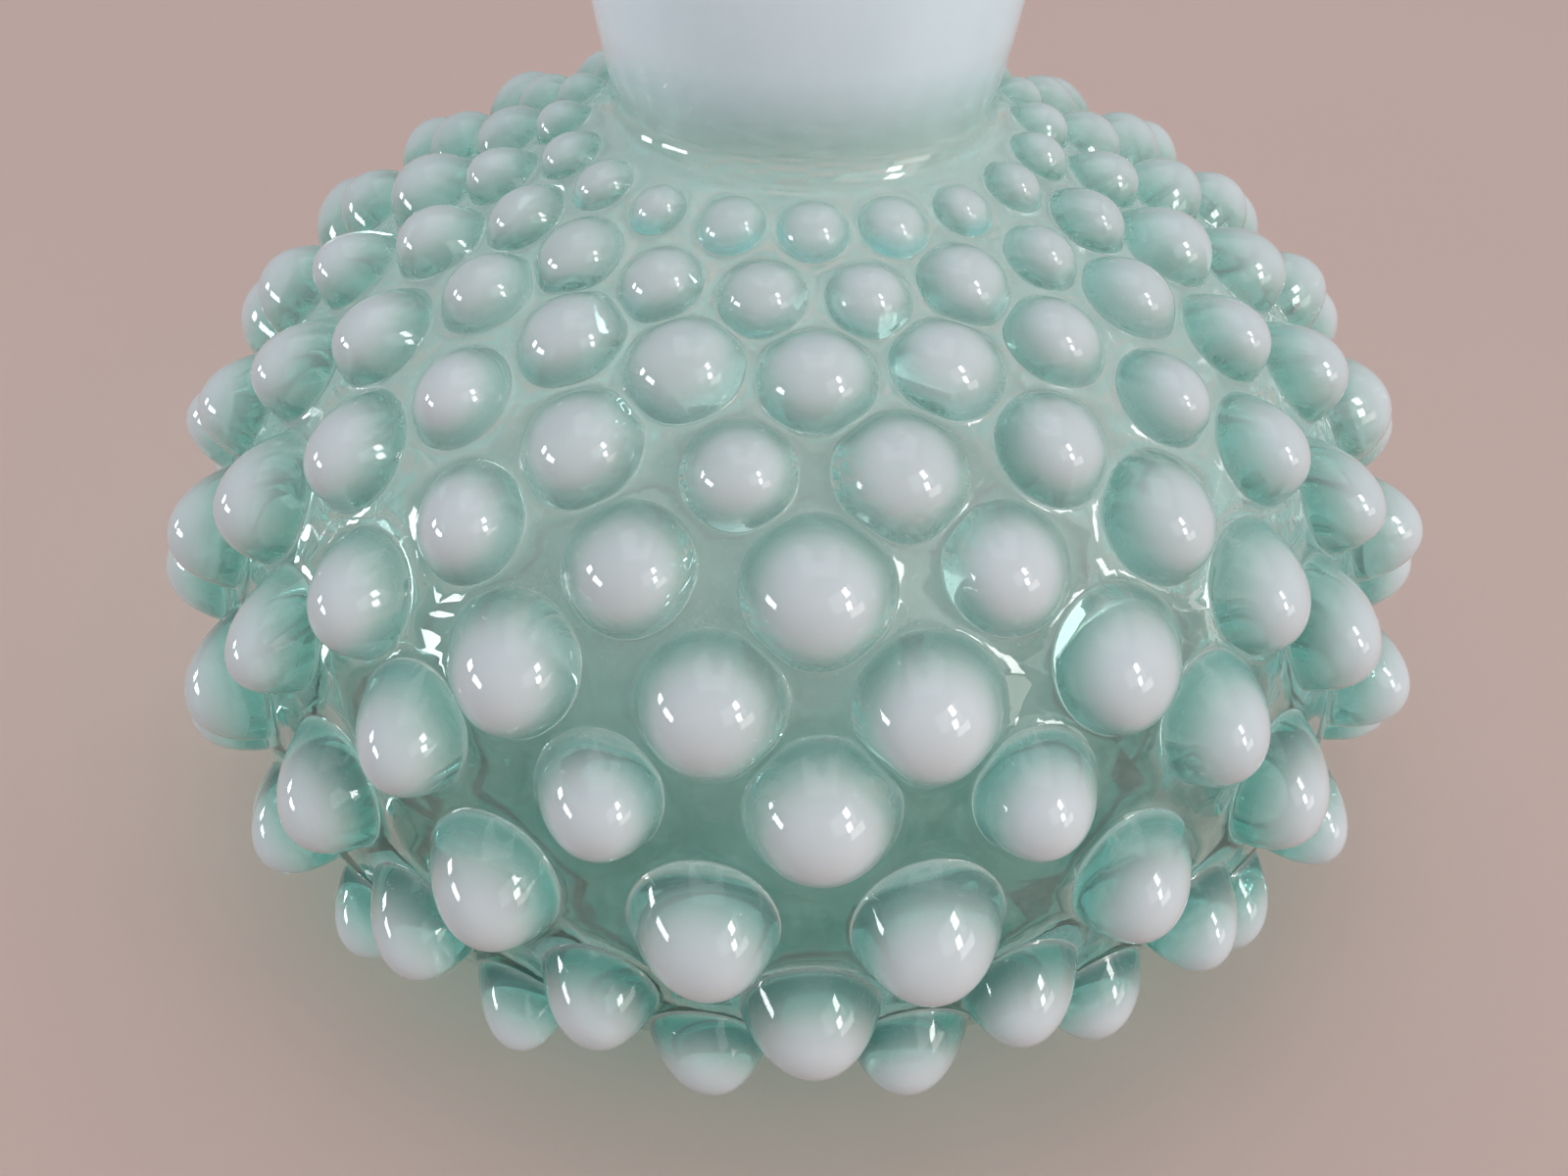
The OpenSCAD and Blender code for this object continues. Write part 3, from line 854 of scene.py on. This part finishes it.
def build_cap():
    """Push-on cap: rolled edge, straight side with two turned lines, dome and ball."""
    low, high = CAP_BOX[0][2], CAP_BOX[1][2]
    roll = CAP_BOX[1][0] - CAP_R
    edge = arc((CAP_R, low + roll), roll, -math.pi / 2, math.pi / 2, 14)
    lines = []
    for z in (low + rise for rise in CAP_LINES):
        lines += [(CAP_R, z - CAP_LINE_DEPTH), (CAP_R - CAP_LINE_DEPTH, z), (CAP_R, z + CAP_LINE_DEPTH)]
    dome = arc((0, 0), 1, 0, DOME_TURN, 12) * (CAP_R, DOME_H) + (0, LINER_TOP)
    ball = arc((0, high - BALL_R), BALL_R, BALL_START, math.pi / 2, 26)
    outside = np.concatenate([edge, lines, dome, ball])
    outside[-1, 0] = 0
    bore = [(0, LINER_TOP), (CAP_BORE, LINER_TOP), (CAP_BORE, low + CAP_FLARE), (CAP_BORE + CAP_FLARE, low)]
    outline = rounded(np.concatenate([bore, outside]), CAP_ROUND, steps=4)
    return lathe("ball_cap", outline, closed=False)


def build_liner():
    """Cork disc with the dent that the spout's tip has pressed into it."""
    low, high = box_mm("cap_liner")
    r, under, top = high[0], low[2], high[2]
    pressed = under + LINER_DENT
    corners = [
        (0, under), (TUBE_BORE, under), (TUBE_BORE + LINER_DENT_EDGE, pressed), (TIP_R, pressed),
        (TIP_R + LINER_DENT_EDGE, under), (r, under), (r, top), (0, top),
    ]
    return lathe("cork_liner", rounded(corners, LINER_ROUND, steps=4), closed=False)


def build_washer():
    """Washer with soft edges."""
    low, high = box_mm("cork_washer")
    r, under, top = high[0], low[2], high[2]
    corners = [(r - WASHER_FLAT, under), (r, under), (r, top), (r - WASHER_FLAT, top)]
    return drilled("cork_washer_disc", rounded(corners, WASHER_ROUND), STOPPER_HOLES)


class Material:
    """A material whose nodes are made and linked in one call each."""

    def __init__(self, name):
        self.material = bpy.data.materials.new(name)
        self.material.use_nodes = True
        self.tree = self.material.node_tree
        self.tree.nodes.clear()
        self.output = self.add("ShaderNodeOutputMaterial")

    def add(self, kind, values=None, **settings):
        """A node with its settings, and each named or numbered input set or linked."""
        made = self.tree.nodes.new(kind)
        for name, value in settings.items():
            setattr(made, name, value)
        for name, value in (values or {}).items():
            self.put(made.inputs[name], value)
        return made

    def put(self, socket, value):
        """Links a socket to another, or sets its plain value."""
        if isinstance(value, bpy.types.NodeSocket):
            self.tree.links.new(value, socket)
        else:
            socket.default_value = value

    def noise(self, scale, detail=3.0, roughness=0.55, vector=None):
        """Share from 0 to 1 of a noise in the piece's own frame."""
        values = {"Scale": scale, "Detail": detail, "Roughness": roughness}
        values["Vector"] = vector or self.place()
        return self.add("ShaderNodeTexNoise", values).outputs["Fac"]

    def place(self, scale=(1, 1, 1)):
        """The piece's own frame, stretched along its axes."""
        frame_node = self.add("ShaderNodeTexCoord").outputs["Object"]
        return self.add("ShaderNodeMapping", {"Vector": frame_node, "Scale": scale}).outputs[0]

    def ramp(self, value, low, high, to_low=0.0, to_high=1.0):
        """A value taken from one span to another, with nothing beyond."""
        values = {0: value, 1: low, 2: high, 3: to_low, 4: to_high}
        return self.add("ShaderNodeMapRange", values, clamp=True).outputs[0]

    def mix(self, share, first, second):
        """A colour between two."""
        made = self.add("ShaderNodeMix", data_type="RGBA")
        self.put(made.inputs[0], share)
        self.put(made.inputs[6], first)
        self.put(made.inputs[7], second)
        return made.outputs[2]

    def sum(self, kind, first, second):
        """One step of arithmetic."""
        return self.add("ShaderNodeMath", {0: first, 1: second}, operation=kind).outputs[0]

    def bump(self, height, strength, distance):
        """A normal from a height."""
        values = {"Height": height, "Strength": strength, "Distance": distance}
        return self.add("ShaderNodeBump", values).outputs[0]


def opal_glass():
    """Aqua glass that turns milky white by the opal stored on the mesh."""
    m = Material("opal_glass")
    opal = m.add("ShaderNodeAttribute", attribute_name="opal").outputs["Fac"]
    streak = m.noise(60.0, 4.0, 0.6, m.place((1, 1, 0.35)))
    milk = m.sum("MULTIPLY", opal, m.ramp(streak, 0.3, 0.7, 0.88, 1.08))
    film = m.ramp(m.noise(160.0, 6.0, 0.65), 0.42, 0.72, 0.0, 0.12)
    specks = m.ramp(m.noise(2600.0, 1.0), 0.66, 0.74, 0.0, 0.08)
    dust = m.sum("MULTIPLY", m.sum("ADD", film, specks), m.sum("SUBTRACT", 1.0, opal))
    share = m.sum("MINIMUM", m.sum("ADD", milk, dust), 0.97)
    milky = m.mix(m.ramp(share, 0.5, 0.9), (0.615, 0.69, 0.67, 1), (0.60, 0.645, 0.675, 1))
    height = m.add("ShaderNodeSeparateXYZ", {0: m.place()}).outputs["Z"]
    in_neck = m.ramp(height, WAIST_Z * MM, (WAIST_Z + NECK_FADE) * MM)
    haze = m.mix(in_neck, milky, (0.73, 0.825, 0.89, 1))
    plain = m.mix(m.ramp(share, 0.2, 0.5), (0.92, 0.92, 0.90, 1), haze)
    # Deep colour: the glass's teal where it is thick at hob roots and base, and on the lower skin also
    # painted shade
    deep = m.add("ShaderNodeAttribute", attribute_name="deep").outputs["Fac"]
    colour = m.mix(deep, plain, (0.33, 0.575, 0.545, 1))
    clear = m.sum("SUBTRACT", 1.0, share)
    smear = m.ramp(m.noise(35.0, 5.0), 0.45, 0.75, 0.006, 0.03)
    ripple = m.bump(m.noise(110.0, 2.0), 0.05, 0.002)
    glass = m.add("ShaderNodeBsdfPrincipled", {
        "Base Color": colour, "Transmission Weight": clear,
        "Roughness": smear, "IOR": 1.5, "Normal": ripple,
    })
    let_in = m.mix(share, (0.97, 0.99, 0.985, 1), (0.72, 0.77, 0.76, 1))
    through = m.add("ShaderNodeBsdfTransparent", {"Color": let_in})
    shadow = m.add("ShaderNodeLightPath").outputs["Is Shadow Ray"]
    surface = m.add("ShaderNodeMixShader", {0: shadow, 1: glass.outputs[0], 2: through.outputs[0]})
    tint = m.add("ShaderNodeVolumeAbsorption", {"Color": (0.36, 0.84, 0.78, 1), "Density": 45.0})
    m.put(m.output.inputs["Surface"], surface.outputs[0])
    m.put(m.output.inputs["Volume"], tint.outputs[0])
    return m.material


def nickel():
    """Nickel plate, dulled in patches, with fine lines from turning."""
    m = Material("nickel")
    patch = m.noise(70.0, 4.0)
    lines = m.noise(90.0, 3.0, 0.6, m.place((0.3, 0.3, 60)))
    colour = m.mix(m.ramp(patch, 0.42, 0.7), (0.77, 0.745, 0.70, 1), (0.63, 0.585, 0.52, 1))
    wear = m.ramp(m.noise(900.0, 3.0), 0.5, 0.8, 0.0, 0.12)
    rough = m.sum("ADD", m.ramp(patch, 0.35, 0.75, 0.10, 0.24), wear)
    metal = m.add("ShaderNodeBsdfPrincipled", {
        "Base Color": colour, "Metallic": 1.0,
        "Roughness": rough, "Normal": m.bump(lines, 0.12, 0.0002),
    })
    m.put(m.output.inputs["Surface"], metal.outputs[0])
    return m.material


def brass():
    """Unlacquered brass, browned in spots."""
    m = Material("brass")
    patch = m.noise(160.0, 5.0, 0.62)
    colour = m.mix(m.ramp(patch, 0.4, 0.72), (0.72, 0.55, 0.29, 1), (0.40, 0.27, 0.13, 1))
    rough = m.ramp(patch, 0.35, 0.75, 0.24, 0.5)
    scratches = m.noise(500.0, 4.0, 0.6, m.place((1, 1, 0.15)))
    metal = m.add("ShaderNodeBsdfPrincipled", {
        "Base Color": colour, "Metallic": 1.0,
        "Roughness": rough, "Normal": m.bump(scratches, 0.15, 0.0002),
    })
    m.put(m.output.inputs["Surface"], metal.outputs[0])
    return m.material


def cork():
    """Natural cork: warm grain, pale and brown patches and dark pores."""
    m = Material("cork")
    grain = m.noise(420.0, 6.0, 0.68)
    patch = m.noise(95.0, 4.0, 0.6)
    cells = m.add("ShaderNodeTexVoronoi", {"Vector": m.place((1, 1, 0.6)), "Scale": 700.0})
    spread = m.ramp(patch, 0.35, 0.65, 0.0, 0.22)
    pore = m.ramp(m.sum("SUBTRACT", cells.outputs["Distance"], spread), 0.06, 0.2, 1.0, 0.0)
    warm = m.mix(m.ramp(grain, 0.3, 0.7), (0.55, 0.37, 0.21, 1), (0.75, 0.56, 0.36, 1))
    mottled = m.mix(m.ramp(patch, 0.45, 0.75, 0.0, 0.55), warm, (0.46, 0.29, 0.15, 1))
    colour = m.mix(pore, mottled, (0.20, 0.11, 0.055, 1))
    height = m.sum("SUBTRACT", grain, m.sum("MULTIPLY", pore, 0.8))
    rind = m.add("ShaderNodeBsdfPrincipled", {
        "Base Color": colour, "Roughness": 0.86, "Normal": m.bump(height, 0.45, 0.0004),
    })
    m.put(m.output.inputs["Surface"], rind.outputs[0])
    return m.material


def floor_material():
    """Pale painted shelf with a faint mottle."""
    m = Material("pale_shelf")
    mottle = m.noise(6.0, 4.0)
    colour = m.mix(mottle, (0.72, 0.515, 0.465, 1), (0.79, 0.57, 0.52, 1))
    paint = m.add("ShaderNodeBsdfPrincipled", {"Base Color": colour, "Roughness": 0.7})
    m.put(m.output.inputs["Surface"], paint.outputs[0])
    return m.material


def place_camera():
    """A camera where the photograph was taken from, at its angle and width of view."""
    data = bpy.data.cameras.new("camera")
    data.sensor_width = SENSOR_WIDTH
    data.lens = LENS
    data.clip_start = CLIP_START
    made = bpy.data.objects.new("camera", data)
    aside, away = math.sin(CAMERA_TURN), math.cos(CAMERA_TURN)
    eye = Vector((-CAMERA_DISTANCE * aside, -CAMERA_DISTANCE * away, EQUATOR_H + CAMERA_HEIGHT)) * MM
    level = Vector((math.sin(CAMERA_HEADING), math.cos(CAMERA_HEADING), 0))
    ahead = level * math.cos(CAMERA_PITCH) - Vector((0, 0, math.sin(CAMERA_PITCH)))
    right = Vector((level.y, -level.x, 0))
    above = right.cross(ahead)
    right, above = (
        right * math.cos(CAMERA_ROLL) + above * math.sin(CAMERA_ROLL),
        above * math.cos(CAMERA_ROLL) - right * math.sin(CAMERA_ROLL),
    )
    made.matrix_world = Matrix((right, above, -ahead)).transposed().to_4x4()
    made.location = eye
    bpy.context.scene.collection.objects.link(made)
    bpy.context.scene.camera = made


def lamp(name, aside, above, span, radiance, colour, only=None):
    """A soft rectangular lamp, by its angles left of the front and up and those it spans, in degrees."""
    turn = -math.pi / 2 - math.radians(aside)
    lift = math.radians(above)
    direction = Vector((math.cos(turn) * math.cos(lift), math.sin(turn) * math.cos(lift), math.sin(lift)))
    data = bpy.data.lights.new(name, "AREA")
    data.shape = "RECTANGLE"
    data.size, data.size_y = (2 * LAMP_DISTANCE * math.tan(math.radians(angle) / 2) for angle in span)
    data.energy = radiance * math.pi * data.size * data.size_y
    data.color = colour
    made = bpy.data.objects.new(name, data)
    made.location = Vector((0, 0, EQUATOR_H * MM)) + direction * LAMP_DISTANCE
    made.rotation_euler = direction.to_track_quat("Z", "Y").to_euler()
    made.visible_camera = False
    if only:
        made.light_linking.receiver_collection = only
    bpy.context.scene.collection.objects.link(made)
    return made


def light_scene():
    """Windows that shine on the pieces alone, broad soft lamps and a pale world."""
    pieces = bpy.data.collections.new("lit_pieces")
    for piece, *_ in PIECES:
        pieces.objects.link(piece)
    lamp("window_left", 80, 6, (18, 8.5), 17, DAYLIGHT, pieces)
    lamp("window_left_small", 101, 7, (8, 9), 19, DAYLIGHT, pieces)
    for pane, aside, above in (("window_right", -52, 22), ("window_right_upper", -58, 41)):
        mirrored = lamp(pane, aside, above, (9, 13), 15, (1.0, 0.99, 0.97), pieces)
        mirrored.visible_transmission = False
    lamp("window_right_low", -62, 8, (24, 14), 3.2, (1.0, 0.95, 0.89), pieces)
    lamp("fill_right", -45, 34, (42, 30), 1.3, (1.0, 0.985, 0.97))
    lamp("ceiling", 180, 75, (50, 50), 0.8, (0.98, 0.99, 1.0))
    world = bpy.data.worlds.new("studio")
    world.use_nodes = True
    nodes, links = world.node_tree.nodes, world.node_tree.links
    split = nodes.new("ShaderNodeSeparateXYZ")
    links.new(nodes.new("ShaderNodeTexCoord").outputs["Generated"], split.inputs[0])
    shade = nodes.new("ShaderNodeMix")
    shade.data_type = "RGBA"
    shade.inputs[6].default_value = WORLD_LOW
    shade.inputs[7].default_value = WORLD_HIGH
    links.new(split.outputs["Z"], shade.inputs[0])
    links.new(shade.outputs[2], nodes["Background"].inputs["Color"])
    seen = nodes.new("ShaderNodeMapRange")
    seen.inputs[3].default_value = WORLD_LIGHT
    seen.inputs[4].default_value = WORLD_SEEN
    links.new(nodes.new("ShaderNodeLightPath").outputs["Is Camera Ray"], seen.inputs[0])
    links.new(seen.outputs[0], nodes["Background"].inputs["Strength"])
    bpy.context.scene.world = world


def lay_floor():
    """A broad pale floor under the bottle."""
    bpy.ops.mesh.primitive_circle_add(vertices=TURN_STEPS, radius=FLOOR_R, fill_type="NGON")
    floor = bpy.context.object
    floor.name = "floor"
    floor.data.materials.append(floor_material())


MATERIALS = {"opal_glass": opal_glass(), "cork": cork(), "nickel": nickel(), "brass": brass()}
PIECES = [
    (build_glass(), "bottle", "opal_glass", "glass_bottle"),
    (build_cork(), "stopper", "cork", "cork_sleeve"),
    (build_collar(), "stopper", "nickel", "collar"),
    (build_tube("pour_pipe", "pour_tube", TUBE_BORE), "stopper", "brass", "pour_tube"),
    (build_tube("vent_pipe", "vent_tube", VENT_BORE), "stopper", "brass", "vent_tube"),
    (build_washer(), "stopper", "brass", "cork_washer"),
    (build_nut(), "stopper", "brass", "cork_nut"),
    (build_spout(), "stopper", "nickel", "spout"),
    (build_cap(), "cap", "nickel", "spout_cap"),
    (build_liner(), "cap", "cork", "cap_liner"),
]
for piece, body, slot, node in PIECES:
    piece.data.materials.append(MATERIALS[slot])
    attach(piece, body)
    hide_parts(node)

lay_floor()
place_camera()
light_scene()
bpy.context.scene.view_settings.view_transform = "Standard"
